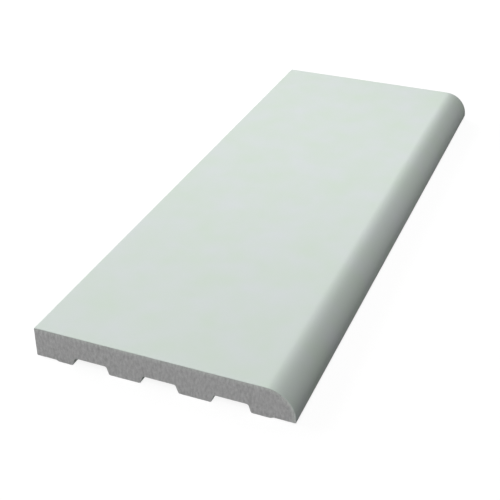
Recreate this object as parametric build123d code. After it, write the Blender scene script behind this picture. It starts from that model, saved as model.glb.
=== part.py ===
"""Round-edged architrave: a cut length of foamed PVC trim board, lying on its back.

X runs across the board, from its square edge to its rounded edge. Y runs along it, the way it was extruded.
Z runs up from the back, away from the wall. The origin is the middle of the back, on the plane of the pads
that bear on the wall.
"""

import os
from math import radians, tan

from build123d import *

# Overall size, in millimetres
LENGTH = 255.0
WIDTH = 95.0
THICKNESS = 12.0

# Edges: the flat land left under the rounded edge, and the small radius on the other arrises
NOSE_LAND = 1.0
ARRIS_RADIUS = 0.4

# Margins of the back, set back from the wall so that only the pads bear on it
MARGIN_SETBACK = 0.5
MARGIN_WIDTH = 7.5
MARGIN_RAMP = 1.2

# Relief grooves along the back: as many as fit with an outer pad on each side
GROOVE_PITCH = 25.75
GROOVE_MOUTH = 14.0
GROOVE_DEPTH = 3.2
GROOVE_DRAFT = 18.0  # lean of the side walls from upright, in degrees
GROOVE_ROOT_RADIUS = 1.0
GROOVE_LIP_RADIUS = 0.8
OUTER_PAD_LEAST = 5.0
GROOVE_SHIFT = -0.6  # of the whole set from mid-width; minus is towards the square edge


def groove_centres():
    """Places of the grooves across the board."""
    between_ramps = WIDTH - 2 * (MARGIN_WIDTH + MARGIN_RAMP)
    room = between_ramps - 2 * (OUTER_PAD_LEAST + abs(GROOVE_SHIFT)) - GROOVE_MOUTH
    steps = int(room // GROOVE_PITCH)
    first = GROOVE_SHIFT - steps * GROOVE_PITCH / 2
    return [first + i * GROOVE_PITCH for i in range(steps + 1)]


def groove_corners(centre):
    """One groove's corners as (x, z, radius), from the square edge's side to the rounded edge's side."""
    mouth = GROOVE_MOUTH / 2
    root = mouth - GROOVE_DEPTH * tan(radians(GROOVE_DRAFT))
    return [
        (centre - mouth, 0, GROOVE_LIP_RADIUS),
        (centre - root, GROOVE_DEPTH, GROOVE_ROOT_RADIUS),
        (centre + root, GROOVE_DEPTH, GROOVE_ROOT_RADIUS),
        (centre + mouth, 0, GROOVE_LIP_RADIUS),
    ]


def section_corners():
    """The section's corners as (x, z, radius), down the square edge, along the back and up the rounded edge."""
    edge = WIDTH / 2
    ramp_top = edge - MARGIN_WIDTH
    ramp_foot = ramp_top - MARGIN_RAMP
    nose_radius = THICKNESS - MARGIN_SETBACK - NOSE_LAND
    square_side = [
        (-edge, THICKNESS, ARRIS_RADIUS),
        (-edge, MARGIN_SETBACK, ARRIS_RADIUS),
        (-ramp_top, MARGIN_SETBACK, 0),
        (-ramp_foot, 0, 0),
    ]
    grooves = [corner for centre in groove_centres() for corner in groove_corners(centre)]
    rounded_side = [
        (ramp_foot, 0, 0),
        (ramp_top, MARGIN_SETBACK, 0),
        (edge, MARGIN_SETBACK, ARRIS_RADIUS),
        (edge, THICKNESS, nose_radius),
    ]
    return square_side + grooves + rounded_side


def make_architrave():
    """The section, extruded to the cut length and sawn square at both ends."""
    corners = section_corners()
    with BuildPart() as board:
        with BuildSketch(Plane.XZ):
            with BuildLine():
                FilletPolyline(
                    *[(x, z) for x, z, _ in corners],
                    radius=[radius for _, _, radius in corners],
                    close=True,
                )
            make_face()
        extrude(amount=LENGTH / 2, both=True)
    return board.part


os.makedirs("parts", exist_ok=True)
export_step(make_architrave(), "parts/architrave.step")
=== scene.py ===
"""A short length of round-edged architrave in foamed PVC, lying on its back on a white floor."""

from math import ceil, copysign, pi, radians, tan

import bpy
import numpy as np
from mathutils import Matrix, Vector
from mathutils.geometry import delaunay_2d_cdt


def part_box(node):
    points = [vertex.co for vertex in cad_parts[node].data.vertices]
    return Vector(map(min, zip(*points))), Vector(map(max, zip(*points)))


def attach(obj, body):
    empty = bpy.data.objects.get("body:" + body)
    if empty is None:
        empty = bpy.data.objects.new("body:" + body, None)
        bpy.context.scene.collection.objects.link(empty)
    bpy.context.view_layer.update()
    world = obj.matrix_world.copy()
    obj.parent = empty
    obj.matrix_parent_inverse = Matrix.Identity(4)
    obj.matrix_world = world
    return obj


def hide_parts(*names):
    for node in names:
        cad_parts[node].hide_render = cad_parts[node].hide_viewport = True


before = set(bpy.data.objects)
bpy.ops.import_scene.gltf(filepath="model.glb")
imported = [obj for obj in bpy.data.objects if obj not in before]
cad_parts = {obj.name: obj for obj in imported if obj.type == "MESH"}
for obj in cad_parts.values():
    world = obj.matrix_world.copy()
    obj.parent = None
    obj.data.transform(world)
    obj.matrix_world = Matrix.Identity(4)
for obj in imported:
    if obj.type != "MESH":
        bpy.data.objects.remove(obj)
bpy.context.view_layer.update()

# The extruded board
# One length of foamed PVC, pushed through a steel die, so its section is the same all along. Its face is
# flat, one edge is square, one is rounded, and grooves relieve the back between pads that bear on the wall.

MM = 0.001  # sizes are in millimetres, except where a comment says metres
low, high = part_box("architrave")
WIDTH = (high.x - low.x) / MM
LENGTH = (high.y - low.y) / MM
THICKNESS = (high.z - low.z) / MM

ARRIS_RADIUS = 0.4
NOSE_LAND = 1.0  # the upright strip below the rounded edge
MARGIN_WIDTH = 7.5
MARGIN_RAMP = 1.2
MARGIN_SETBACK = 0.5
NOSE_RADIUS = THICKNESS - MARGIN_SETBACK - NOSE_LAND
GROOVE_PITCH = 25.75
GROOVE_SHIFT = -0.6  # of all three, towards the square edge
GROOVE_MOUTH = 14.0
GROOVE_DEPTH = 3.2
GROOVE_DRAFT = radians(18)
GROOVE_ROOT_RADIUS = 1.0
GROOVE_LIP_RADIUS = 0.8


def groove_corners(centre):
    """One groove's corners as (x, z, radius), from the square edge's side to the rounded edge's side."""
    mouth = GROOVE_MOUTH / 2
    root = mouth - GROOVE_DEPTH * tan(GROOVE_DRAFT)
    return [
        (centre - mouth, 0, GROOVE_LIP_RADIUS),
        (centre - root, GROOVE_DEPTH, GROOVE_ROOT_RADIUS),
        (centre + root, GROOVE_DEPTH, GROOVE_ROOT_RADIUS),
        (centre + mouth, 0, GROOVE_LIP_RADIUS),
    ]


edge = WIDTH / 2
ramp_top = edge - MARGIN_WIDTH
ramp_foot = ramp_top - MARGIN_RAMP
section_corners = [
    (-edge, THICKNESS, ARRIS_RADIUS),
    (-edge, MARGIN_SETBACK, ARRIS_RADIUS),
    (-ramp_top, MARGIN_SETBACK, 0),
    (-ramp_foot, 0, 0),
    *groove_corners(GROOVE_SHIFT - GROOVE_PITCH),
    *groove_corners(GROOVE_SHIFT),
    *groove_corners(GROOVE_SHIFT + GROOVE_PITCH),
    (ramp_foot, 0, 0),
    (ramp_top, MARGIN_SETBACK, 0),
    (edge, MARGIN_SETBACK, ARRIS_RADIUS),
    (edge, THICKNESS, NOSE_RADIUS),
]

ARC_STEP = radians(5)
RUN_STEP = 0.5


def rounded_outline(corners):
    """The section's points, anticlockwise, with its corners rounded and its long runs divided."""
    stops = []
    for i, (x, z, radius) in enumerate(corners):
        corner = Vector((x, z))
        arriving = (corner - Vector(corners[i - 1][:2])).normalized()
        leaving = (Vector(corners[(i + 1) % len(corners)][:2]) - corner).normalized()
        turn = leaving.angle_signed(arriving)
        start = corner - arriving * radius * tan(abs(turn) / 2)
        centre = start + Vector((-arriving.y, arriving.x)) * copysign(radius, turn)
        steps = ceil(abs(turn) / ARC_STEP) if radius else 0
        for k in range(steps + 1):
            stops.append(centre + Matrix.Rotation(turn * k / max(steps, 1), 2) @ (start - centre))
    divided = []
    for here, there in zip(stops, stops[1:] + stops[:1]):
        parts = max(1, round((there - here).length / RUN_STEP))
        divided += [here.lerp(there, k / parts) for k in range(parts)]
    return np.array(divided)


outline = rounded_outline(section_corners)
along = np.roll(outline, -1, axis=0) - np.roll(outline, 1, axis=0)
outward = np.stack([along[:, 1], -along[:, 0]], axis=1) / np.linalg.norm(along, axis=1)[:, None]

# The saw broke the skin's edge back a little at each end, here more and there less.
EDGE_BREAK = 0.1
EDGE_BREAK_SPREAD = 0.06
EDGE_BREAK_STEP = 1.2
rng = np.random.default_rng(seed=7)


def sawn_outline():
    """The outline as it is left on the plane of a saw cut, inside the skin by the ragged break."""
    runs = np.linalg.norm(np.roll(outline, -1, axis=0) - outline, axis=1)
    way_round = np.cumsum(runs)
    knots = np.linspace(0, way_round[-1], round(way_round[-1] / EDGE_BREAK_STEP) + 1)
    breaks = EDGE_BREAK + rng.uniform(-EDGE_BREAK_SPREAD, EDGE_BREAK_SPREAD, len(knots))
    breaks[-1] = breaks[0]
    return outline - outward * np.interp(way_round - runs, knots, breaks)[:, None]


# The skin runs from ring to ring of the section. The two outer rings are the rims of the saw cuts.
STATION_STEP = 6.0
half_length = LENGTH / 2
unbroken = half_length - EDGE_BREAK
stations = np.linspace(-unbroken, unbroken, ceil(2 * unbroken / STATION_STEP) + 1)
near_rim, far_rim = sawn_outline(), sawn_outline()
rings = [(-half_length, near_rim), *[(y, outline) for y in stations], (half_length, far_rim)]
ring_size = len(outline)
far_start = ring_size * (len(rings) - 1)
points = np.array([(x, y, z) for y, ring in rings for x, z in ring])
skin_faces = []
for this in range(0, far_start, ring_size):
    onward = this + ring_size
    for k in range(ring_size):
        beside = (k + 1) % ring_size
        skin_faces.append((this + k, onward + k, onward + beside, this + beside))


def linear(hex_colour):
    """An sRGB hex colour as linear RGBA."""
    channels = [int(hex_colour[i:i + 2], 16) / 255 for i in (1, 3, 5)]
    return [c / 12.92 if c <= 0.04045 else ((c + 0.055) / 1.055) ** 2.4 for c in channels] + [1.0]


def add(tree, kind, inputs=None, **settings):
    """A new node with its settings, and with each input given a value or linked to a socket."""
    made = tree.nodes.new(kind)
    for name, value in settings.items():
        setattr(made, name, value)
    for socket, value in (inputs or {}).items():
        if isinstance(value, bpy.types.NodeSocket):
            tree.links.new(value, made.inputs[socket])
        else:
            made.inputs[socket].default_value = value
    return made


def bare_material(name):
    """A new material whose tree has no nodes yet."""
    material = bpy.data.materials.new(name)
    material.use_nodes = True
    material.node_tree.nodes.clear()
    return material


def repeats(millimetres):
    """A texture's scale for a pattern of that size: how often it repeats in a metre."""
    return 1 / (millimetres * MM)


# Extruded foamed PVC: the melt cools against the die as a closed skin of low sheen, coloured pale sage.
# The eye sees an even colour with the faintest clouds, almost no shine, hairlines along the run of the die
# and a fine orange peel from the gas cells just under the surface.
SAGE_COLOUR = "#D0DDD1"
CLOUD_COLOUR = "#D6DDDC"
CLOUD_SIZE = 14.0
CLOUD_SPAN = (0.25, 0.75)  # the part of the noise's range that is stretched to full contrast
DIE_LINE_SPACING = 1.4
DIE_LINE_LENGTH = 160.0
DIE_LINE_DEPTH = 0.004
PEEL_SIZE = 0.7
PEEL_DEPTH = 0.006
SKIN_ROUGHNESS = (0.7, 0.8)
PVC_IOR = 1.53

skin = bare_material("extruded_foamed_pvc_skin")
tree = skin.node_tree
place = add(tree, "ShaderNodeTexCoord").outputs["Object"]
clouds = add(tree, "ShaderNodeTexNoise", {"Vector": place, "Scale": repeats(CLOUD_SIZE), "Detail": 3.0})
cloudy = add(tree, "ShaderNodeMapRange", {
    "Value": clouds.outputs["Fac"], "From Min": CLOUD_SPAN[0], "From Max": CLOUD_SPAN[1],
})
tint = add(tree, "ShaderNodeMix", {
    "Factor": cloudy.outputs["Result"], "A": linear(SAGE_COLOUR), "B": linear(CLOUD_COLOUR),
}, data_type="RGBA")
drawn = add(tree, "ShaderNodeMapping", {
    "Vector": place,
    "Scale": (repeats(DIE_LINE_SPACING), repeats(DIE_LINE_LENGTH), repeats(DIE_LINE_SPACING)),
})
die_lines = add(tree, "ShaderNodeTexNoise", {
    "Vector": drawn.outputs["Vector"], "Scale": 1.0, "Detail": 2.0,
})
peel = add(tree, "ShaderNodeTexNoise", {"Vector": place, "Scale": repeats(PEEL_SIZE), "Detail": 1.0})
scored = add(tree, "ShaderNodeBump", {"Height": die_lines.outputs["Fac"], "Distance": DIE_LINE_DEPTH * MM})
dimpled = add(tree, "ShaderNodeBump", {
    "Height": peel.outputs["Fac"], "Distance": PEEL_DEPTH * MM, "Normal": scored.outputs["Normal"],
})
polish = add(tree, "ShaderNodeMapRange", {
    "Value": die_lines.outputs["Fac"], "To Min": SKIN_ROUGHNESS[0], "To Max": SKIN_ROUGHNESS[1],
})
closed_skin = add(tree, "ShaderNodeBsdfPrincipled", {
    "Base Color": tint.outputs["Result"], "Roughness": polish.outputs["Result"], "IOR": PVC_IOR,
    "Normal": dimpled.outputs["Normal"],
})
add(tree, "ShaderNodeOutputMaterial", {"Surface": closed_skin.outputs["BSDF"]})

# The sawn ends
# Both ends of the board are cut square with a fine-toothed saw, which opens the foam under the skin. The
# teeth comb the cut from face to back and tear cells out here and there, and the dense skin shows round it.

CELL_STEP = 0.3
CELL_SCATTER = 0.3  # of the step, either way
CLEAR_OF_RIM = 0.15
MERGE_WITHIN = 1e-5
TOOTH_MARK_SPACING = 1.2
TOOTH_MARK_DEPTH = 0.03
TOOTH_MARK_LEAN = 0.12  # across, for each millimetre up
TORN_CELL_SHARE = 0.08
TORN_CELL_DEPTH = 0.04
CUT_FADE = 1.0  # depth under the skin at which the marks reach their full depth


def depth_under_skin(spots):
    """How far in millimetres each spot of the section lies inside the outline; minus is outside."""
    nearest = np.full(len(spots), np.inf)
    inside = np.zeros(len(spots), bool)
    for a, b in zip(outline, np.roll(outline, -1, axis=0)):
        share = np.clip((spots - a) @ (b - a) / ((b - a) @ (b - a)), 0, 1)
        nearest = np.minimum(nearest, np.linalg.norm(spots - a - share[:, None] * (b - a), axis=1))
        if a[1] != b[1]:
            level_with = (a[1] > spots[:, 1]) != (b[1] > spots[:, 1])
            crossing = a[0] + (spots[:, 1] - a[1]) / (b[1] - a[1]) * (b[0] - a[0])
            inside ^= level_with & (spots[:, 0] < crossing)
    return np.where(inside, nearest, -nearest)


def sawn_end(rim):
    """One end's spots of foam as (x, z), how deep the saw cut at each, and the faces that join them."""
    across, up = np.meshgrid(np.arange(-edge, edge, CELL_STEP), np.arange(0, THICKNESS, CELL_STEP))
    spots = np.stack([across.ravel(), up.ravel()], axis=1)
    spots += rng.uniform(-CELL_SCATTER, CELL_SCATTER, spots.shape) * CELL_STEP
    depth = depth_under_skin(spots)
    well_inside = depth > EDGE_BREAK + EDGE_BREAK_SPREAD + CLEAR_OF_RIM
    spots, depth = spots[well_inside], depth[well_inside]
    rim_loop = [(k, (k + 1) % ring_size) for k in range(ring_size)]
    rim_and_spots = [Vector(spot) for spot in np.concatenate([rim, spots])]
    only_inside_rim = 1
    faces = delaunay_2d_cdt(rim_and_spots, rim_loop, [], only_inside_rim, MERGE_WITHIN)[2]
    marks = np.arange(-edge - THICKNESS, edge + THICKNESS, TOOTH_MARK_SPACING)
    mark_depths = rng.uniform(0, TOOTH_MARK_DEPTH, len(marks))
    cut = np.interp(spots[:, 0] - spots[:, 1] * TOOTH_MARK_LEAN, marks, mark_depths)
    cut += (rng.random(len(spots)) < TORN_CELL_SHARE) * rng.uniform(0, TORN_CELL_DEPTH, len(spots))
    return spots, cut * np.clip(depth / CUT_FADE, 0, 1), faces


end_faces = []
for side, rim, rim_start in ((-1, near_rim, 0), (1, far_rim, far_start)):
    spots, cut, faces = sawn_end(rim)
    spot_start = len(points)
    cut_points = np.stack([spots[:, 0], side * (half_length - cut), spots[:, 1]], axis=1)
    points = np.concatenate([points, cut_points])
    for face in faces:
        corners = [rim_start + k if k < ring_size else spot_start + k - ring_size for k in face]
        end_faces.append(corners if side < 0 else corners[::-1])

# The foam is dense under the face and densest round the nose, where the melt cooled fastest. Round the nose,
# depth is taken from the nose's axis, and under the flat face from the level of that axis.
DENSE_DEPTH = 1.7
DENSE_FADE = 0.6
FACE_DENSITY = 0.6
off_axis = np.maximum(points[:, [0, 2]] - (edge - NOSE_RADIUS, THICKNESS - NOSE_RADIUS), 0)
reach = np.linalg.norm(off_axis, axis=1)
round_nose = np.divide(off_axis[:, 0], reach, out=np.zeros_like(reach), where=reach > 0)
density = np.clip((reach - NOSE_RADIUS + DENSE_DEPTH) / DENSE_FADE, 0, 1)
density *= FACE_DENSITY + (1 - FACE_DENSITY) * round_nose

# Skin and ends are one closed mesh, because the board is one piece.
SHARP_ANGLE = radians(20)
mesh = bpy.data.meshes.new("architrave_board")
mesh.from_pydata((points * MM).tolist(), [], skin_faces + end_faces)
mesh.attributes.new("dense_rim", "FLOAT", "POINT").data.foreach_set("value", density.astype(np.float32))
mesh.polygons.foreach_set("use_smooth", np.ones(len(mesh.polygons), bool))
mesh.polygons.foreach_set("material_index", [0] * len(skin_faces) + [1] * len(end_faces))
mesh.set_sharp_from_angle(angle=SHARP_ANGLE)

# Sawn foamed PVC: the cut opens thousands of gas cells, so it is matt and greyer than the skin.
# The eye sees pinprick pores, torn by the teeth into small upright tufts, faint streaks in patches, and a
# paler rim where the foam is dense. The pores' centres are darkened with painted shade. The tufts are drawn
# coarser than real ones, which are too fine to show.
FOAM_COLOUR = "#D4D4D4"
DENSE_COLOUR = "#E3E6E3"
PORE_SIZE = 0.2
PORE_DEPTH = 0.03
PORE_SHADE = 0.25
PORE_WALL = 0.6  # the share of its size at which a pore ends
TUFT_WIDTH = 0.85
TUFT_HEIGHT = 1.8
TUFT_CONTRAST = 0.2
TUFT_SPAN = (0.25, 0.75)
STREAK_SPACING = 0.9
STREAK_LENGTH = 7.0
STREAK_CONTRAST = 0.08
STREAK_SPAN = (0.3, 0.7)
PATCH_SIZE = 6.0
PATCH_SPAN = (0.4, 0.65)
FOAM_ROUGHNESS = 0.85

foam = bare_material("sawn_foamed_pvc")
tree = foam.node_tree
place = add(tree, "ShaderNodeTexCoord").outputs["Object"]
dense = add(tree, "ShaderNodeAttribute", attribute_name="dense_rim").outputs["Fac"]
body = add(tree, "ShaderNodeMix", {
    "Factor": dense, "A": linear(FOAM_COLOUR), "B": linear(DENSE_COLOUR),
}, data_type="RGBA")
# Each pore is darkest at its centre: painted shade inside the open cells, laid over a bump of real pits.
pores = add(tree, "ShaderNodeTexVoronoi", {"Vector": place, "Scale": repeats(PORE_SIZE)})
painted_pore_shade = add(tree, "ShaderNodeMapRange", {
    "Value": pores.outputs["Distance"], "From Max": PORE_WALL, "To Min": 1 - PORE_SHADE, "To Max": 1.0,
})
drawn_out = add(tree, "ShaderNodeMapping", {
    "Vector": place, "Scale": (repeats(TUFT_WIDTH), repeats(TUFT_WIDTH), repeats(TUFT_HEIGHT)),
})
tufts = add(tree, "ShaderNodeTexNoise", {
    "Vector": drawn_out.outputs["Vector"], "Scale": 1.0, "Detail": 2.0,
})
tufted = add(tree, "ShaderNodeMapRange", {
    "Value": tufts.outputs["Fac"], "From Min": TUFT_SPAN[0], "From Max": TUFT_SPAN[1],
    "To Min": 1 - TUFT_CONTRAST, "To Max": 1 + TUFT_CONTRAST,
})
combed = add(tree, "ShaderNodeMapping", {
    "Vector": place, "Scale": (repeats(STREAK_SPACING), repeats(STREAK_SPACING), repeats(STREAK_LENGTH)),
})
streaks = add(tree, "ShaderNodeTexNoise", {
    "Vector": combed.outputs["Vector"], "Scale": 1.0, "Detail": 2.0,
})
streaky = add(tree, "ShaderNodeMapRange", {
    "Value": streaks.outputs["Fac"], "From Min": STREAK_SPAN[0], "From Max": STREAK_SPAN[1],
    "To Min": 1 - STREAK_CONTRAST, "To Max": 1 + STREAK_CONTRAST,
})
patches = add(tree, "ShaderNodeTexNoise", {"Vector": place, "Scale": repeats(PATCH_SIZE), "Detail": 1.0})
patchy = add(tree, "ShaderNodeMapRange", {
    "Value": patches.outputs["Fac"], "From Min": PATCH_SPAN[0], "From Max": PATCH_SPAN[1],
})
combing = add(tree, "ShaderNodeMix", {
    "Factor": patchy.outputs["Result"], "A": 1.0, "B": streaky.outputs["Result"],
})
torn = add(tree, "ShaderNodeMath", {
    0: tufted.outputs["Result"], 1: combing.outputs["Result"],
}, operation="MULTIPLY")
shade = add(tree, "ShaderNodeMath", {
    0: torn.outputs["Value"], 1: painted_pore_shade.outputs["Result"],
}, operation="MULTIPLY")
colour = add(tree, "ShaderNodeVectorMath", {
    0: body.outputs["Result"], "Scale": shade.outputs["Value"],
}, operation="SCALE")
pitted = add(tree, "ShaderNodeBump", {"Height": pores.outputs["Distance"], "Distance": PORE_DEPTH * MM})
open_foam = add(tree, "ShaderNodeBsdfPrincipled", {
    "Base Color": colour.outputs["Vector"], "Roughness": FOAM_ROUGHNESS, "IOR": PVC_IOR,
    "Normal": pitted.outputs["Normal"],
})
add(tree, "ShaderNodeOutputMaterial", {"Surface": open_foam.outputs["BSDF"]})

mesh.materials.append(skin)
mesh.materials.append(foam)
board = bpy.data.objects.new("architrave_board", mesh)
bpy.context.scene.collection.objects.link(board)
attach(board, "root")
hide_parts("architrave")

# The floor
# A plain matt floor, far wider than the board, which lies on it. Rays that look at it see white, less the
# board's soft shadow. Its own grey throws only a little light back, which fills the underside of the nose.

FLOOR_WIDTH = 6.0  # metres, as are the two distances of the fade
FADE_START = 0.2
FADE_END = 0.6
FLOOR_CLEARANCE = 0.1
FLOOR_COLOUR = "#797979"
FLOOR_GLOW = 0.88

floor_mesh = bpy.data.meshes.new("floor")
half_floor = FLOOR_WIDTH / 2
floor_corners = [(x * half_floor, y * half_floor, 0) for x, y in ((-1, -1), (1, -1), (1, 1), (-1, 1))]
floor_mesh.from_pydata(floor_corners, [], [(0, 1, 2, 3)])
floor = bpy.data.objects.new("floor", floor_mesh)
floor.location.z = -FLOOR_CLEARANCE * MM
bpy.context.scene.collection.objects.link(floor)


def looked_at(tree):
    """A socket that is one for rays that look, straight, mirrored or through glass, and zero for light."""
    path = add(tree, "ShaderNodeLightPath").outputs
    seen = add(tree, "ShaderNodeMath", {
        0: path["Is Camera Ray"], 1: path["Is Glossy Ray"],
    }, operation="MAXIMUM")
    seen_or_through = add(tree, "ShaderNodeMath", {
        0: seen.outputs["Value"], 1: path["Is Transmission Ray"],
    }, operation="MAXIMUM")
    return seen_or_through.outputs["Value"]


paint = bare_material("matt_white_floor")
tree = paint.node_tree
matt = add(tree, "ShaderNodeBsdfDiffuse", {"Color": linear(FLOOR_COLOUR)})
spot = add(tree, "ShaderNodeTexCoord").outputs["Object"]
way_out = add(tree, "ShaderNodeVectorMath", {0: spot}, operation="LENGTH")
# It whitens further off, so that it meets the room without an edge.
whitening = add(tree, "ShaderNodeMapRange", {
    "Value": way_out.outputs["Value"], "From Min": FADE_START, "From Max": FADE_END, "To Min": FLOOR_GLOW,
})
level = add(tree, "ShaderNodeMath", {
    0: looked_at(tree), 1: whitening.outputs["Result"],
}, operation="MULTIPLY")
glow = add(tree, "ShaderNodeEmission", {"Strength": level.outputs["Value"]})
both = add(tree, "ShaderNodeAddShader", {0: matt.outputs["BSDF"], 1: glow.outputs["Emission"]})
add(tree, "ShaderNodeOutputMaterial", {"Surface": both.outputs["Shader"]})
floor_mesh.materials.append(paint)

# The studio light
# Five soft lamps in a white room. A long window light rakes the face from the square edge's side, so the
# rounded edge falls into shade. Weaker lamps in front, behind and above light the near end and the face.

SOFTBOXES = {  # places and sizes in metres; each lamp faces the middle of the board
    "window_light": {"place": (-1.5, 0.4, 0.65), "size": (2.0, 0.9), "watts": 31.3},
    "front_high_light": {"place": (0.0, -0.77, 0.92), "size": (0.5, 0.5), "watts": 5.95},
    "front_low_light": {"place": (0.56, -0.98, 0.41), "size": (0.5, 0.5), "watts": 1.0},
    "back_light": {"place": (-0.36, 0.77, 0.31), "size": (0.5, 0.25), "watts": 2.35},
    "top_light": {"place": (0.06, 0.06, 0.2), "size": (0.2, 0.2), "watts": 0.1},
}
for name, softbox in SOFTBOXES.items():
    lamp = bpy.data.lights.new(name, "AREA")
    lamp.shape = "RECTANGLE"
    lamp.size, lamp.size_y = softbox["size"]
    lamp.energy = softbox["watts"]
    stand = bpy.data.objects.new(name, lamp)
    stand.location = softbox["place"]
    stand.rotation_euler = (-stand.location).to_track_quat("-Z", "Y").to_euler()
    bpy.context.scene.collection.objects.link(stand)

ROOM_COLOUR = "#FFFFFF"
room = bpy.data.worlds.new("white_room")
room.use_nodes = True
tree = room.node_tree
tree.nodes.clear()
walls = add(tree, "ShaderNodeBackground", {"Color": linear(ROOM_COLOUR), "Strength": looked_at(tree)})
add(tree, "ShaderNodeOutputWorld", {"Surface": walls.outputs["Background"]})
bpy.context.scene.world = room

# The camera
# It stands in front of the near end, to the right, and looks down along the board through a long lens. Its
# place was fitted to the board's edges in the photograph.

LENS = 73.149
HEADING = radians(22.062)
PITCH = radians(31.524)
AIM = Vector((1.668, -53.108, THICKNESS)) * MM
DISTANCE = 387.96 * MM

camera = bpy.data.objects.new("camera", bpy.data.cameras.new("camera"))
camera.data.lens = LENS
camera.rotation_euler = (pi / 2 - PITCH, 0, HEADING)
camera.location = AIM + camera.rotation_euler.to_matrix() @ Vector((0, 0, DISTANCE))
bpy.context.scene.collection.objects.link(camera)
bpy.context.scene.camera = camera
bpy.context.scene.view_settings.view_transform = "Standard"
